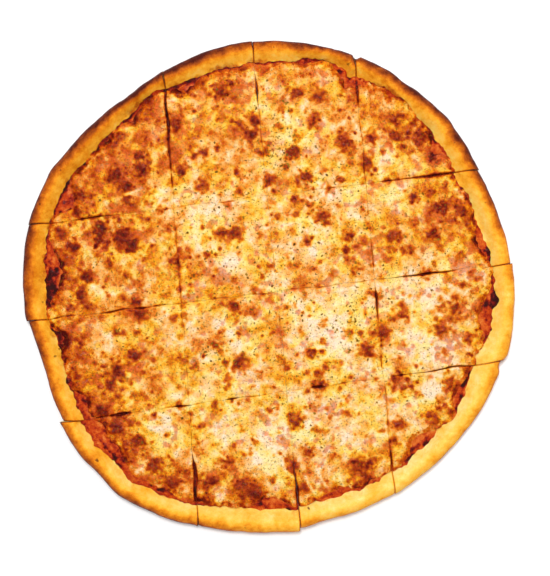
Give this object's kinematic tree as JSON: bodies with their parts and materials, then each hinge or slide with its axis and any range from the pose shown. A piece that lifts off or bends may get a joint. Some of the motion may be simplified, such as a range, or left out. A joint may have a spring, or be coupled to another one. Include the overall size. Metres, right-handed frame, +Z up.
{
  "type": "square-cut thin-crust cheese pizza",
  "caption": "Round thin-crust cheese pizza with a low browned rim, cut into squares and edge pieces that still lie together; sauce shows along the rim.",
  "frame": {"origin": "middle of the pizza's bounding box, on the surface it lies on", "axes": "+Z up through the thickness; +Y to the far side, +X to the right, as seen from above; the cuts run about 5 to 8 degrees off the X and Y axes"},
  "size_m": [0.3556, 0.3554, 0.0138],
  "materials": {
    "crust": "baked golden-brown dough, matte, darker on its outer edge",
    "sauce": "cooked tomato sauce, moist, charred in places",
    "cheese": "melted cheese, slightly oily, with browned blisters and dark green dried herbs"
  },
  "bodies": {
    "root": {"dough_r1c1": "crust", "sauce_r1c1": "sauce", "cheese_r1c1": "cheese", "dough_r1c2": "crust", "sauce_r1c2": "sauce", "cheese_r1c2": "cheese", "dough_r1c3": "crust", "sauce_r1c3": "sauce", "cheese_r1c3": "cheese", "dough_r1c4": "crust", "sauce_r1c4": "sauce", "cheese_r1c4": "cheese", "dough_r2c1": "crust", "sauce_r2c1": "sauce", "cheese_r2c1": "cheese", "dough_r2c2": "crust", "sauce_r2c2": "sauce", "cheese_r2c2": "cheese", "dough_r2c3": "crust", "sauce_r2c3": "sauce", "cheese_r2c3": "cheese", "dough_r2c4": "crust", "sauce_r2c4": "sauce", "cheese_r2c4": "cheese", "dough_r3c1": "crust", "sauce_r3c1": "sauce", "cheese_r3c1": "cheese", "dough_r3c2": "crust", "sauce_r3c2": "sauce", "cheese_r3c2": "cheese", "dough_r3c3": "crust", "sauce_r3c3": "sauce", "cheese_r3c3": "cheese", "dough_r3c4": "crust", "sauce_r3c4": "sauce", "cheese_r3c4": "cheese", "dough_r4c1": "crust", "sauce_r4c1": "sauce", "cheese_r4c1": "cheese", "dough_r4c2": "crust", "sauce_r4c2": "sauce", "cheese_r4c2": "cheese", "dough_r4c3": "crust", "sauce_r4c3": "sauce", "cheese_r4c3": "cheese", "dough_r4c4": "crust", "sauce_r4c4": "sauce", "cheese_r4c4": "cheese"}
  },
  "joints": []
}
